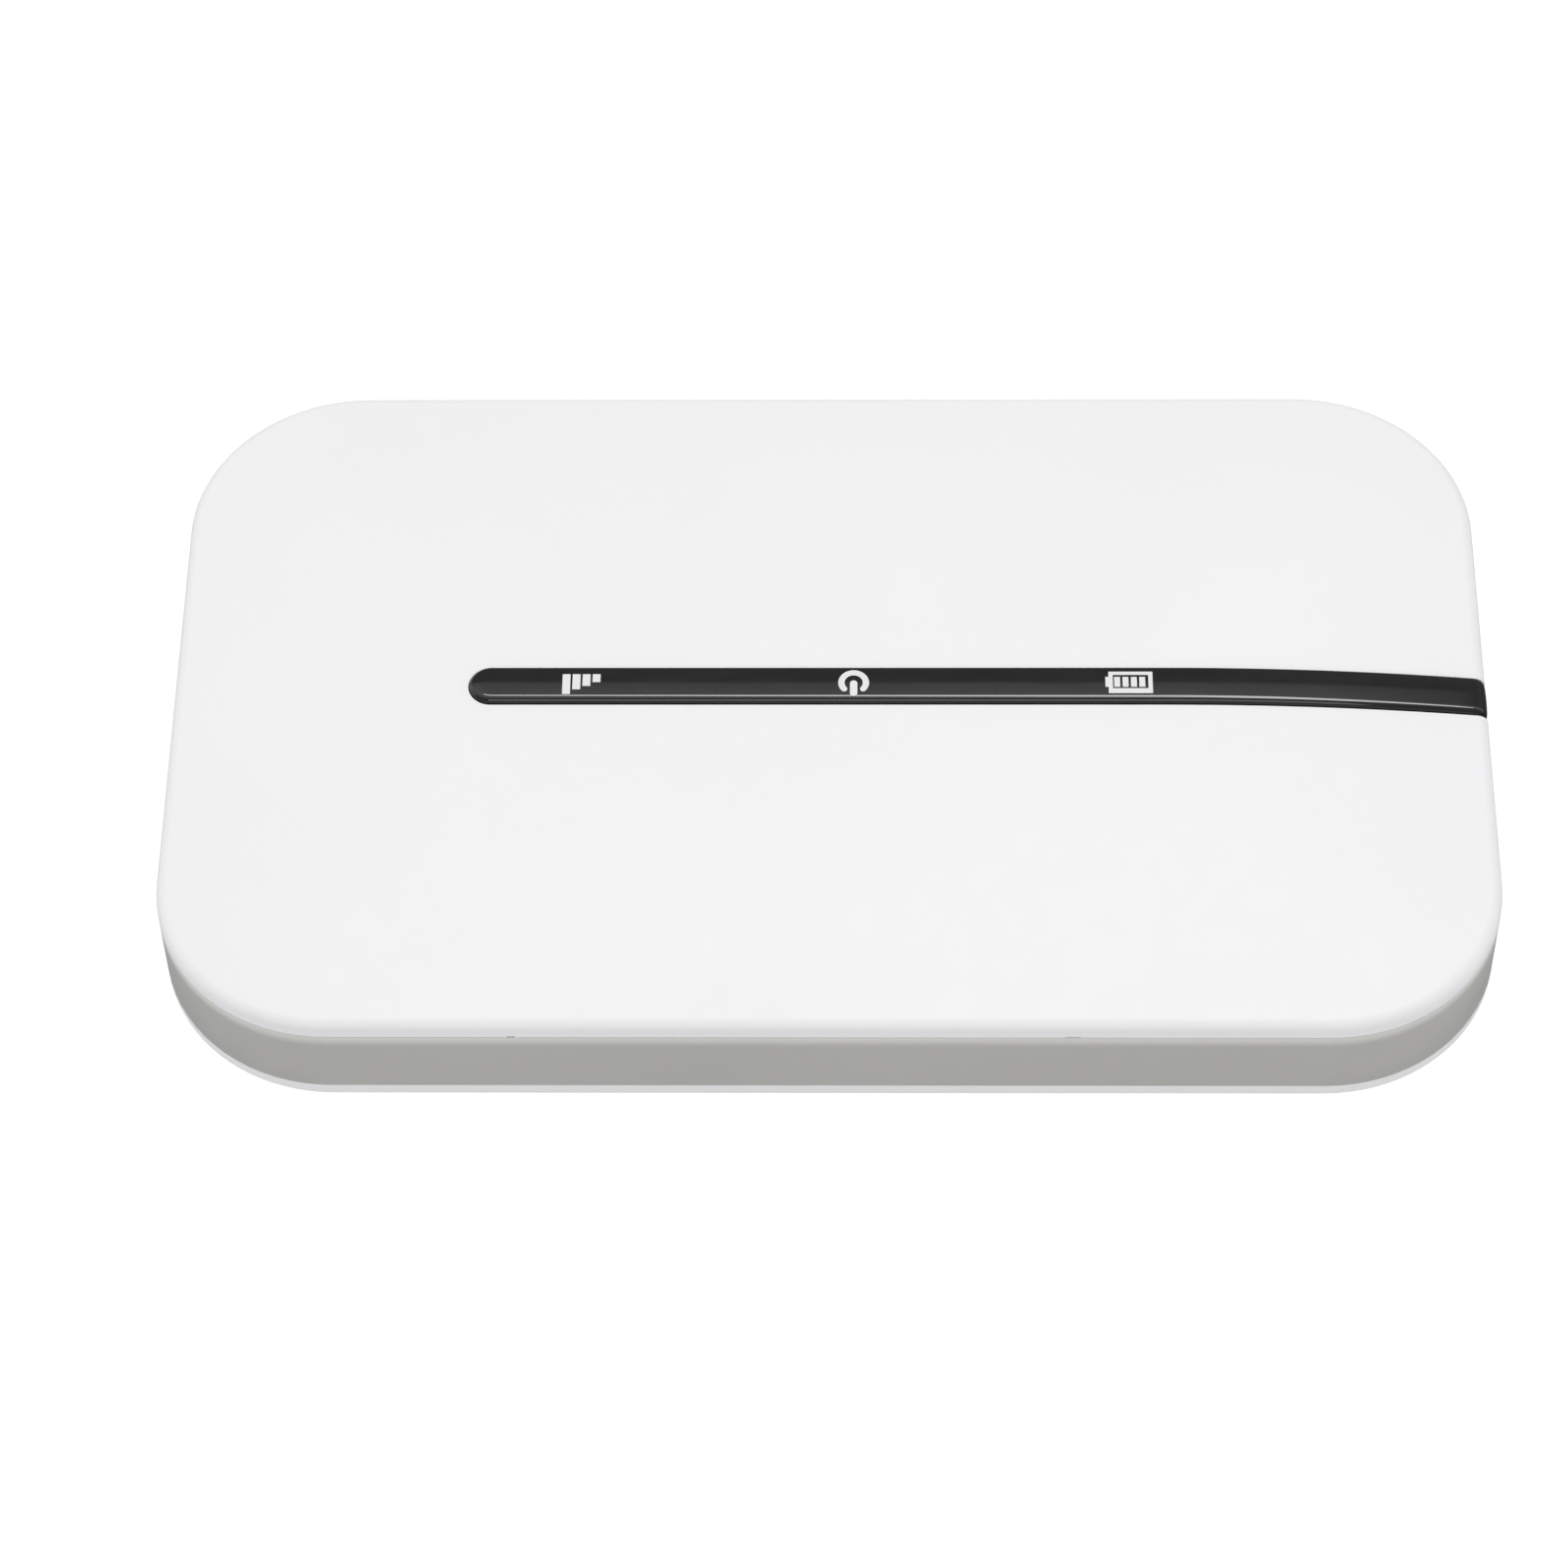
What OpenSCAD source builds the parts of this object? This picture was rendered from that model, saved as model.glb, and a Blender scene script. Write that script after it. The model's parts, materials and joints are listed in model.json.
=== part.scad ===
// Pocket mobile hotspot: two white shells around a grey middle frame, with the
// board, antennas and removable battery between them. It lies on its back cover.
// +X points to the end with the charging socket and power key, +Z is up.

/* [Case] */
// Length of the case along X
case_w = 100; // [98:1:104]
// Depth of the case along Y
case_d = 60; // [60:1:64]
// Radius of the case's corners seen from above
corner_r = 13.3; // [13:0.1:14]
// Height of the top cover at its middle
case_h = 12.2; // [12.2:0.1:13]
// Height of the joint between the back cover and the middle frame
back_joint_z = 3; // [2.9:0.05:3.1]
// Height of the joint between the middle frame and the top cover
top_joint_z = 9.4; // [9.3:0.05:9.5]

/* [Crown] */
// Distance in from the case's edge at which each cover starts to curve away
crown_reach = 24.3; // [22:0.1:26]
// Radius of the top cover's crown
top_crown_r = 200; // [185:1:215]
// Radius of the back cover's crown
back_crown_r = 246; // [230:1:270]
// Radius of the top cover's edge
top_edge_r = 1; // [1:0.1:1.2]
// Radius of the back cover's edge
back_edge_r = 1.2; // [0.8:0.1:1.2]

/* [Walls] */
// Thickness of the top cover over the board
top_t = 1.2; // [1.1:0.05:1.3]
// Thickness of the back cover under the battery
back_t = 1; // [0.9:0.05:1.1]
// Width of both covers' rims
rim_t = 2.1; // [2:0.05:2.2]
// Thickness of the middle frame's wall
frame_t = 1.4; // [1.3:0.05:1.4]
// Thickness of the middle frame's floors
floor_t = 0.8; // [0.7:0.05:0.8]

/* [Indicator strip] */
// Width of the strip
strip_w = 3.33; // [3.2:0.01:3.4]
// Place of the strip across the case
strip_y = -0.02; // [-0.2:0.01:0.2]
// X of the strip's rounded inner end
strip_end_x = -27.3; // [-30:0.1:-26]
// Height of the strip above the top cover
strip_lift = 0.45; // [0.3:0.05:0.5]
// Depth of the strip's channel in the top cover
strip_depth = 0.75; // [0.6:0.05:0.8]
// Thickness of the strip's leg on the end wall
strip_leg_t = 0.8; // [0.7:0.05:0.9]

/* [Board] */
// Height of the main board's underside
board_z = 7.4; // [7.3:0.05:7.45]
// Thickness of the main board
board_t = 0.9; // [0.8:0.05:1]

/* [Battery] */
// Length of the battery, with its end cap
battery_w = 63.4; // [63:0.1:63.6]
// Width of the battery
battery_d = 44.6; // [44:0.1:44.8]
// Thickness of the battery
battery_h = 4.1; // [3.9:0.05:4.1]

/* [Controls] */
// Width of the power key
key_w = 8; // [7:0.1:8.2]
// Height of the power key
key_h = 2.2; // [2:0.05:2.3]
// Y of the power key's middle
key_y = 11.5; // [11.4:0.1:11.8]

/* [Hidden] */
$fn = 48;
slack = 0.1;
mid_x = case_w / 2;
mid_y = case_d / 2;
wall_x = mid_x - frame_t;
wall_y = mid_y - frame_t;

// Inside edges of the covers, and their locating tongue and lip
inner_edge_r = 0.5;
tongue_h = 0.8;
lip_h = 0.4;

// Strip's outer corner, its channel's corner and the gap between the two sides
strip_corner_r = 1.3;
channel_corner_r = 0.5;
channel_gap = 0.03;

// Top cover: pad behind the strip, stiffening ribs, and moulding marks on the near rim
pad_x = [-29, 34];
pad_half = 2.4;
pad_z = 10.4;
RIB_XS = [-29.6, 18.6, 29.4];
rib_w = 0.6;
rib_half = 26;
rib_z = [9.9, 10.8];
boss_top = 10.3;
// Each mark: [x, width, depth]
NICKS = [[-23.1, 0.54, 0.3], [17.9, 1.1, 0.08]];
nick_h = 0.2;

// Floors of the middle frame: a deck around the battery bay and the bay's roof
deck_z = back_joint_z + 0.5;
deck_top = deck_z + floor_t;
roof_z = 5.8;
roof_top = roof_z + floor_t;
bay_gap = 0.3;
bay_x = [-38, -38 + battery_w + 2 * bay_gap];
bay_y = battery_d / 2 + bay_gap;
bay_t = 0.9;
scoop_r = 6;

// Battery, its end cap and its three contacts
battery_x0 = bay_x[0] + bay_gap;
battery_x1 = battery_x0 + battery_w;
battery_z = roof_z - 0.2 - battery_h;
cap_w = 2;
cap_x0 = battery_x1 - cap_w;
contact_ys = [7.5, 10, 12.5];
contact_z = 4;

// Screws and their bosses
boss_x = mid_x - 7.5;
boss_y = mid_y - 7.5;
boss_r = 2;
boss_z = 6;
screw_head_z = 3.7;
screw_head_h = 0.9;
screw_head_r = 1.5;
screw_r = 0.75;
screw_end_z = 9.6;
post_x = 31;
post_y = 24.5;
post_r = 1.8;
board_screw_r = 0.65;
board_screw_h = 3.4;
pin_x = -31;
pin_y = 20;

// Main board
board_top = board_z + board_t;
board_x0 = -33;
board_x1 = mid_x - 2.5;
board_y1 = mid_y - 2.4;
board_r = corner_r - 2.5;

// Charging socket, centred under the strip's end
usb_w = 7.5;
usb_h = 2.6;
usb_x = [mid_x - 6, mid_x - 0.5];
usb_z = board_z - usb_h;

// Power key and the switch behind it
key_z = 6.2;
key_flange_x = [mid_x - 2, mid_x - 1.5];
switch_x = [mid_x - 5.4, mid_x - 3.1];

// Card reader in the bay's roof
sim_x = [6, 20];
sim_y = [-14.5, -0.5];
sim_z = 6;

// Reset switch above the deck
reset_x = 36;
reset_y = -18;
reset_z = 6.2;

// Back cover's snap tabs: [x, y, angle], each on the inside of the frame's wall
tab_w = 5;
tab_t = 0.7;
tab_inset = 1.55;
tab_top = 5.2;
bump_inset = 1.25;
groove_inset = 1.05;
TABS = concat(
    [for (x = [-30, 0, 30], side = [-1, 1]) [x, side * mid_y, side * 90]],
    [[-mid_x, -8, 180], [-mid_x, 8, 180], [mid_x, -12, 0]]);

// Back cover's ribs under the battery
BACK_RIB_YS = [-12, 12];
back_rib_x = [-30, 18];

// Symbols let into the strip: signal bars, power ring with its stem, and battery
icon_t = 0.12;
strip_top = case_h + strip_lift;
bars_x = -20.21;
bar_w = 0.6;
bar_pitch = 0.76;
bars_top_y = 0.78;
BAR_LENGTHS = [1.87, 1.43, 1.11, 0.75];
ring_x = 1.88;
ring_y = -0.02;
ring_r = 1.17;
ring_stroke = 0.48;
ring_gap = 50;
stem_w = 0.56;
stem_y = [-1.28, 0.19];
cell_icon_x = [21.18, 24.52];
cell_icon_y = [-1.01, 1.01];
cell_window_x = [21.51, 24.19];
cell_window_y = [-0.55, 0.71];
terminal_w = 0.24;
cell_w = 0.45;
cell_h = 0.94;
cell_pitch = 0.633;
cell_x = 21.61;
cell_y = -0.42;

// Shield cans over the board's two circuits: [x range, y range]
shield_h = 1.1;
shield_t = 0.3;
lid_t = 0.2;
baseband_area = [[-26, 18], [4.5, 24]];
radio_area = [[-26, 10], [-24, -5.5]];

// Light guides between the board's lights and the strip: [x range, y range]
GUIDES = [[[-20.6, -17.2], [-1.15, 1.05]], [[0.45, 3.1], [-1.25, 1.25]], [[20.75, 24.6], [-1.15, 1.15]]];
guide_z = 9.1;
guide_slack = 0.05;
shroud_t = 0.9;

white = [0.93, 0.93, 0.94];
grey = [0.62, 0.63, 0.64];
black = [0.06, 0.06, 0.07];
steel = [0.75, 0.76, 0.78];
gold = [0.85, 0.68, 0.32];

// ---------------------------------------------------------------- shapes

// Box between two limits on each axis
module span(x, y, z) {
    translate([x[0], y[0], z[0]]) cube([x[1] - x[0], y[1] - y[0], z[1] - z[0]]);
}

// Rounded rectangle centred on the origin
module rounded(w, d, r) {
    square([w - 2 * r, d], center = true);
    square([w, d - 2 * r], center = true);
    for (sx = [-1, 1], sy = [-1, 1])
        translate([sx * (w / 2 - r), sy * (d / 2 - r)]) circle(r);
}

// Rectangle between two limits on each axis
module panel(x, y) {
    translate([x[0], y[0]]) square([x[1] - x[0], y[1] - y[0]]);
}

// Upright block with rounded corners
module rounded_block(w, d, r, z0, z1) {
    translate([0, 0, z0]) linear_extrude(z1 - z0) rounded(w, d, r);
}

// Same outline as the case, moved in by an inset
module case_block(inset, z0, z1) {
    rounded_block(case_w - 2 * inset, case_d - 2 * inset, corner_r - inset, z0, z1);
}

// Rounded plate standing on the end wall: y across, z up, thickness along x
module end_plate(x, y, z, w, h, r) {
    translate([x[0], y, z]) rotate([90, 0, 90]) linear_extrude(x[1] - x[0]) rounded(w, h, r);
}

// Upright cylinder between two heights
module post(x, y, r, z0, z1) {
    translate([x, y, z0]) cylinder(r = r, h = z1 - z0);
}

// Height of the centre of the edge's roll, where it is tangent to the crown
function roll_z(reach, cr, h, er) = h - cr + sqrt(pow(cr - er, 2) - pow(reach - er, 2));

// Half section of a crowned slab: level, then the crown's arc, then the edge's roll
module crown_section(half, reach, cr, h, er, z0) {
    start = half - reach;
    inner = max(start, 0);
    roll = roll_z(reach, cr, h, er);
    tangent = start + (reach - er) * cr / (cr - er);
    if (start > 0) translate([0, z0]) square([start, h - z0]);
    intersection() {
        translate([start, h - cr]) circle(cr, $fn = 720);
        translate([inner, z0]) square([tangent - inner, h - z0 + 1]);
    }
    intersection() {
        translate([half - er, roll]) circle(er);
        translate([half - 2 * er, z0]) square([2 * er, roll + er - z0]);
    }
    translate([0, z0]) square([half, roll - z0]);
}

// Full section of the crown alone, out to a limit on both sides
module crown_middle(half, limit, reach, cr, h, z0) {
    start = half - reach;
    translate([-start, z0]) square([2 * start, h - z0]);
    for (side = [0, 1]) mirror([side, 0]) intersection() {
        translate([start, h - cr]) circle(cr, $fn = 720);
        translate([start, z0]) square([limit - start, h - z0 + 1]);
    }
}

// Slab with a flat underside at z0 and a crowned, edge-rolled top at h
module pillow(inset, reach, cr, h, er, z0) {
    r = corner_r - inset;
    far_x = mid_x - corner_r;
    far_y = mid_y - corner_r;
    for (i = [0:3]) {
        sx = (i == 0 || i == 3) ? 1 : -1;
        sy = (i < 2) ? 1 : -1;
        translate([sx * far_x, sy * far_y, 0]) rotate(90 * i)
            rotate_extrude(angle = 90) crown_section(r, reach, cr, h, er, z0);
    }
    for (side = [0, 1]) {
        mirror([side, 0, 0]) translate([far_x, far_y, 0]) rotate([90, 0, 0])
            linear_extrude(2 * far_y) crown_section(r, reach, cr, h, er, z0);
        mirror([0, side, 0]) translate([-far_x, far_y, 0]) rotate([90, 0, 90])
            linear_extrude(2 * far_x) crown_section(r, reach, cr, h, er, z0);
    }
    intersection() {
        translate([0, far_y, 0]) rotate([90, 0, 0])
            linear_extrude(2 * far_y) crown_middle(mid_x - inset, far_x, reach, cr, h, z0);
        translate([-far_x, 0, 0]) rotate([90, 0, 90])
            linear_extrude(2 * far_x) crown_middle(mid_y - inset, far_y, reach, cr, h, z0);
    }
}

// Places its children at each case screw
module at_bosses() {
    for (sx = [-1, 1], sy = [-1, 1]) translate([sx * boss_x, sy * boss_y, 0]) children();
}

// Places its children at each board screw
module at_posts() {
    for (sy = [-1, 1]) translate([post_x, sy * post_y, 0]) children();
}

// Places its children at each snap tab, with +X pointing out of the case
module at_tabs() {
    for (t = TABS) translate([t[0], t[1], 0]) rotate(t[2]) children();
}

// Pan-head screw pointing up, with a cross recess in its head
module screw(head_r, head_h, r, length) {
    difference() {
        union() {
            cylinder(r = head_r, h = head_h);
            translate([0, 0, head_h]) cylinder(r = r, h = length);
        }
        for (a = [0, 90]) rotate(a)
            translate([-head_r * 0.6, -0.18, -slack]) cube([head_r * 1.2, 0.36, head_h * 0.55 + slack]);
    }
}

// Rows of small parts: corner, counts, pitches and size of one part
module grid(x, y, z, nx, ny, px, py, size) {
    for (i = [0:nx - 1], j = [0:ny - 1]) translate([x + i * px, y + j * py, z]) cube(size);
}

// ---------------------------------------------------------------- case

// Strip's shape seen from above: round at one end, running off the case at the other
module strip_outline(clear) {
    r = strip_w / 2 + clear;
    x = strip_end_x + strip_w / 2;
    translate([x, strip_y]) circle(r);
    translate([x, strip_y - r]) square([mid_x - x + 1, 2 * r]);
}

// Section along X under the strip: the channel's floor and the wall behind its leg
module floor_section() {
    h = case_h - strip_depth;
    crown_section(mid_x - strip_leg_t, crown_reach - strip_leg_t, top_crown_r - strip_depth, h,
        channel_corner_r, top_joint_z - 1);
    translate([-mid_x, top_joint_z - 1]) square([mid_x, h - top_joint_z + 1]);
}

// Section along X over the strip: follows the crown and turns down the end wall
module strip_section() {
    crown_section(mid_x, crown_reach, top_crown_r + strip_lift, strip_top, strip_corner_r, top_joint_z);
    translate([-mid_x, top_joint_z]) square([mid_x, strip_top - top_joint_z]);
}

// Extrudes a section along X across the case's whole depth
module across() {
    translate([0, mid_y + 1, 0]) rotate([90, 0, 0]) linear_extrude(case_d + 2) children();
}

module strip_body() {
    intersection() {
        across() difference() {
            strip_section();
            floor_section();
        }
        translate([0, 0, top_joint_z - 1]) linear_extrude(strip_top) strip_outline(0);
    }
}

// Channel that the strip lies in, open at the top and the end
module strip_channel() {
    difference() {
        translate([0, 0, top_joint_z - 0.5]) linear_extrude(strip_top) strip_outline(channel_gap);
        across() floor_section();
    }
}

module signal_symbol() {
    for (i = [0:3]) translate([bars_x + i * bar_pitch, bars_top_y - BAR_LENGTHS[i]])
        square([bar_w, BAR_LENGTHS[i]]);
}

module power_symbol() {
    middle_r = ring_r - ring_stroke / 2;
    end_r = ring_stroke / 2 - 0.01;
    stem_r = stem_w / 2;
    dx = sin(ring_gap);
    dy = cos(ring_gap);
    translate([ring_x, ring_y]) {
        difference() {
            circle(ring_r);
            circle(ring_r - ring_stroke);
            polygon([[0, 0], [-3 * dx, -3 * dy], [0, -3], [3 * dx, -3 * dy]]);
        }
        for (side = [-1, 1]) translate([side * dx * middle_r, -dy * middle_r]) circle(end_r);
    }
    panel([ring_x - stem_r, ring_x + stem_r], stem_y + [stem_r, -stem_r]);
    for (y = stem_y + [stem_r, -stem_r]) translate([ring_x, y]) circle(stem_r);
}

module battery_symbol() {
    difference() {
        panel(cell_icon_x, cell_icon_y);
        panel(cell_window_x, cell_window_y);
    }
    panel([cell_icon_x[0] - terminal_w, cell_icon_x[0]], [cell_y, cell_y + cell_h]);
    for (i = [0:3]) translate([cell_x + i * cell_pitch, cell_y]) square([cell_w, cell_h]);
}

// Symbol as a thin inlay let into the strip's top
module inlay() {
    translate([0, 0, strip_top - icon_t]) linear_extrude(icon_t) children();
}

module top_cover() color(white) difference() {
    union() {
        difference() {
            pillow(0, crown_reach, top_crown_r, case_h, top_edge_r, top_joint_z);
            pillow(rim_t, crown_reach - rim_t, top_crown_r - top_t, case_h - top_t, inner_edge_r,
                top_joint_z - 1);
        }
        // Tongue that locates the cover inside the frame
        difference() {
            case_block(frame_t + slack, top_joint_z - tongue_h, top_joint_z);
            case_block(rim_t, top_joint_z - 1, top_joint_z + 1);
        }
        at_bosses() cylinder(r = boss_r, h = boss_top);
        // Pad behind the strip's channel, and ribs beside the board's shields
        span(pad_x, [strip_y - pad_half, strip_y + pad_half], [pad_z, case_h - top_t + 0.2]);
        for (x = RIB_XS) span([x, x + rib_w], [-rib_half, rib_half], rib_z);
    }
    at_bosses() translate([0, 0, -1]) cylinder(r = boss_r + 1, h = boss_z + 1);
    at_bosses() translate([0, 0, boss_z - 1]) cylinder(r = screw_r + 0.05, h = screw_end_z - boss_z + 1.2);
    strip_channel();
    for (g = GUIDES) span(g[0] + [-slack, slack], g[1] + [-slack, slack], [pad_z - 1, case_h]);
    for (n = NICKS) span([n[0] - n[1] / 2, n[0] + n[1] / 2], [-mid_y - 1, -mid_y + n[2]],
        [top_joint_z - 1, top_joint_z + nick_h]);
}

module indicator_strip() color(black) difference() {
    strip_body();
    inlay() {
        signal_symbol();
        power_symbol();
        battery_symbol();
    }
}

module signal_icon() color("white") inlay() signal_symbol();

module power_icon() color("white") inlay() power_symbol();

module battery_icon() color("white") inlay() battery_symbol();

module light_guides() color([0.9, 0.95, 1, 0.6])
    for (g = GUIDES) span(g[0], g[1], [guide_z, case_h - strip_depth]);

module light_shroud() color(black) difference() {
    for (g = GUIDES) span(g[0] + [-shroud_t, shroud_t], g[1] + [-shroud_t, shroud_t],
        [guide_z - 0.1, pad_z]);
    for (g = GUIDES) span(g[0] + [-guide_slack, guide_slack], g[1] + [-guide_slack, guide_slack],
        [guide_z - 1, pad_z + 1]);
}

module mid_frame() color(grey) difference() {
    union() {
        difference() {
            case_block(0, back_joint_z, top_joint_z);
            case_block(frame_t, back_joint_z - 1, top_joint_z + 1);
        }
        case_block(frame_t - 0.1, deck_z, deck_top);
        span([bay_x[0] - bay_t, bay_x[1] + bay_t], [-bay_y - bay_t, bay_y + bay_t], [deck_z, roof_top]);
        at_bosses() translate([0, 0, deck_z]) cylinder(r = boss_r + 0.3, h = boss_z - deck_z);
        at_posts() translate([0, 0, deck_z]) cylinder(r = post_r, h = board_z - deck_z);
        // Posts and pins under the board's far end and its long sides
        for (sy = [-1, 1]) {
            post(pin_x, sy * pin_y, 1.5, roof_z, board_z);
            post(pin_x, sy * pin_y, 0.8, board_z, board_top + 0.6);
            post(0, sy * 25.6, 1.2, deck_z, board_z);
        }
        // Seats under the charging socket
        for (y = [-3, 2]) span([usb_x[0], usb_x[1] - 1], [y, y + 1], [deck_z, usb_z]);
    }
    // Battery bay, with a thumb scoop at its end
    span(bay_x, [-bay_y, bay_y], [0, roof_z]);
    post(bay_x[0], 0, scoop_r, 0, deck_z + 0.5);
    // Card reader's window
    span([sim_x[0] - 14, sim_x[1] + 0.4], sim_y + [-0.4, 0.4], [roof_z - 1, roof_top + 1]);
    // Battery connector's window
    span([bay_x[1] - 1, bay_x[1] + 5.3], [5.2, 14.8], [0, roof_top + 1]);
    post(reset_x, reset_y, 1, 0, deck_top + 1);
    // Case screws: head recess and shank hole
    at_bosses() cylinder(r = screw_head_r + 0.15, h = screw_head_z + screw_head_h);
    at_bosses() cylinder(r = screw_r + 0.15, h = case_h);
    at_posts() translate([0, 0, deck_top]) cylinder(r = board_screw_r + 0.05, h = case_h);
    // Charging socket's window, power key's window and its shallow scoop
    end_plate([wall_x - 1, mid_x + 1], 0, usb_z + usb_h / 2, usb_w + 0.8, usb_h + 0.6, 0.8);
    end_plate([wall_x - 1, mid_x + 1], key_y, key_z, key_w + 0.2, key_h + 0.2, 1.19);
    end_plate([mid_x - 0.4, mid_x + 1], key_y, key_z, key_w + 2, key_h + 1.6, 1.89);
    // Grooves and slots for the back cover's tabs
    at_tabs() span([-frame_t - 1, -groove_inset], [-tab_w / 2 - 0.3, tab_w / 2 + 0.3],
        [0, tab_top + 0.3]);
}

module back_cover() color(white) {
    mirror([0, 0, 1]) difference() {
        pillow(0, crown_reach, back_crown_r, 0, back_edge_r, -back_joint_z);
        pillow(rim_t, crown_reach - rim_t, back_crown_r - back_t, -back_t, inner_edge_r,
            -back_joint_z - 1);
    }
    // Lip that locates the cover inside the frame
    difference() {
        case_block(frame_t + slack, back_joint_z, back_joint_z + lip_h);
        case_block(rim_t, back_joint_z - 1, back_joint_z + 1);
    }
    at_tabs() {
        span([-tab_inset - tab_t, -tab_inset], [-tab_w / 2, tab_w / 2], [back_joint_z - 1, tab_top]);
        span([-tab_inset - 0.1, -bump_inset], [-tab_w / 2 + 0.5, tab_w / 2 - 0.5],
            [tab_top - 1, tab_top - 0.4]);
    }
    // Two ribs that keep the battery from rattling
    for (y = BACK_RIB_YS) span(back_rib_x, [y - 0.4, y + 0.4], [back_t - 0.1, battery_z - 0.1]);
}

// ---------------------------------------------------------------- board

module board_outline() {
    difference() {
        intersection() {
            rounded(2 * board_x1, 2 * board_y1, board_r);
            translate([board_x0, -board_y1]) square([board_x1 - board_x0, 2 * board_y1]);
        }
        for (sy = [-1, 1]) {
            translate([boss_x, sy * boss_y]) circle(boss_r + 0.4);
            translate([boss_x, sy * boss_y]) rotate(sy * 45) translate([0, -boss_r - 0.4])
                square([6, 2 * boss_r + 0.8]);
            translate([post_x, sy * post_y]) circle(board_screw_r + 0.15);
            translate([pin_x, sy * pin_y]) circle(0.9);
        }
    }
}

module main_board() color([0.07, 0.3, 0.18])
    translate([0, 0, board_z]) linear_extrude(board_t) board_outline();

module status_leds() color([0.95, 0.9, 0.6]) {
    grid(bars_x, -0.4, board_top, 4, 1, bar_pitch, 1, [0.6, 0.8, 0.5]);
    grid(ring_x - 0.8, -0.4, board_top, 1, 1, 1, 1, [1.6, 0.8, 0.6]);
    grid(cell_x, -0.4, board_top, 4, 1, cell_pitch, 1, [0.5, 0.8, 0.5]);
}

// Walls of a shield can with a narrow inward flange
module shield_frame(area) {
    difference() {
        span(area[0], area[1], [board_top, board_top + shield_h]);
        span(area[0] + [shield_t, -shield_t], area[1] + [shield_t, -shield_t],
            [board_top - 1, board_top + shield_h - 0.15]);
        span(area[0] + [1.2, -1.2], area[1] + [1.2, -1.2], [board_top, board_top + shield_h + 1]);
    }
}

// Lid that clips over the walls
module shield_lid(area) {
    top = board_top + shield_h;
    difference() {
        span(area[0] + [-lid_t, lid_t], area[1] + [-lid_t, lid_t], [top - 0.6, top + lid_t]);
        span(area[0] + [-0.05, 0.05], area[1] + [-0.05, 0.05], [top - 1, top]);
    }
}

// Square chip on the board's upper face
module chip(x, y, w, d, h) {
    translate([x - w / 2, y - d / 2, board_top]) cube([w, d, h]);
}

module baseband_shield_frame() color(steel) shield_frame(baseband_area);

module baseband_shield_lid() color(steel) shield_lid(baseband_area);

module radio_shield_frame() color(steel) shield_frame(radio_area);

module radio_shield_lid() color(steel) shield_lid(radio_area);

module baseband_chip() color(black) chip(-4, 14, 12, 12, 0.85);

module memory_chip() color(black) chip(-18, 14, 10, 11.5, 0.85);

module power_chip() color(black) chip(10, 10, 6, 6, 0.8);

module radio_chip() color(black) chip(-16, -14, 7, 7, 0.8);

module amplifier_chips() color([0.12, 0.12, 0.13])
    for (i = [0:2]) chip(-7 + i * 5.5, -12, 4, 4, 0.7);

module clock_crystal() color(steel) chip(-22.5, -20, 3.2, 2.5, 0.7);

module thermal_pad() color([0.6, 0.66, 0.75])
    span([-12, 6], [8, 20], [board_top + shield_h + lid_t, board_top + shield_h + lid_t + 0.5]);

module inductors() color([0.25, 0.24, 0.23])
    for (p = [[24.5, 11], [24.5, 15], [28.5, 13]]) chip(p[0], p[1], 2.6, 2.2, 1.1);

module storage_capacitors() color([0.8, 0.62, 0.25])
    for (p = [[37, 13], [37, 9]]) chip(p[0], p[1], 3.5, 2.8, 1.2);

module top_passives() color([0.55, 0.45, 0.35]) {
    grid(-23, -22.4, board_top, 8, 1, 4, 1, [1, 0.5, 0.4]);
    grid(-9, -8.4, board_top, 4, 1, 4, 1, [1, 0.5, 0.4]);
    grid(14.4, 6, board_top, 1, 6, 1, 2.4, [1, 0.5, 0.4]);
    grid(20.5, -22, board_top, 4, 5, 2.6, 2, [1, 0.5, 0.4]);
    grid(38, -12, board_top, 3, 4, 2.2, 1.8, [1, 0.5, 0.4]);
    grid(20.5, 6, board_top, 5, 1, 2.2, 1, [1, 0.5, 0.4]);
}

module bottom_passives() color([0.55, 0.45, 0.35]) {
    grid(-24, -18, board_z - 0.5, 5, 4, 3, 2.5, [1, 0.5, 0.5]);
    grid(-24, 8, board_z - 0.5, 6, 4, 3, 2.5, [1, 0.5, 0.5]);
    grid(37, -10, board_z - 0.5, 2, 3, 2.2, 2, [1, 0.5, 0.5]);
}

module radio_test_sockets() color(gold)
    for (y = [-20, -9]) {
        chip(14.5, y, 2.6, 2.6, 0.35);
        difference() {
            post(14.5, y, 1, board_top + 0.35, board_top + 1.1);
            post(14.5, y, 0.7, board_top + 0.6, board_top + 2);
        }
    }

module wifi_antenna() color([0.9, 0.88, 0.82]) chip(24, 26, 7, 2, 1);

module antenna_carrier() color(black) difference() {
    span([-47.2, -39.4], [-19.5, 19.5], [deck_top, top_joint_z - 0.2]);
    for (y = [-18.3, -5.6, 7.1]) span([-46.2, -40.4], [y, y + 11.2], [deck_top - 1, top_joint_z - 1]);
}

module main_antenna() color(gold) difference() {
    union() {
        span([-46.8, -39.8], [-19, 19], [top_joint_z - 0.2, top_joint_z - 0.1]);
        for (y = [-7, 4]) span([-40, -30.6], [y, y + 3], [top_joint_z - 0.2, top_joint_z - 0.1]);
    }
    span([-45.4, -41.6], [-16.5, 17.5], [top_joint_z - 1, top_joint_z]);
}

module side_antenna() color(gold) difference() {
    span([-22, 16], [-wall_y, -wall_y + 0.1], [5.7, 8.4]);
    span([-19, 13], [-wall_y - 1, -wall_y + 1], [6.6, 7.5]);
}

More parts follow.
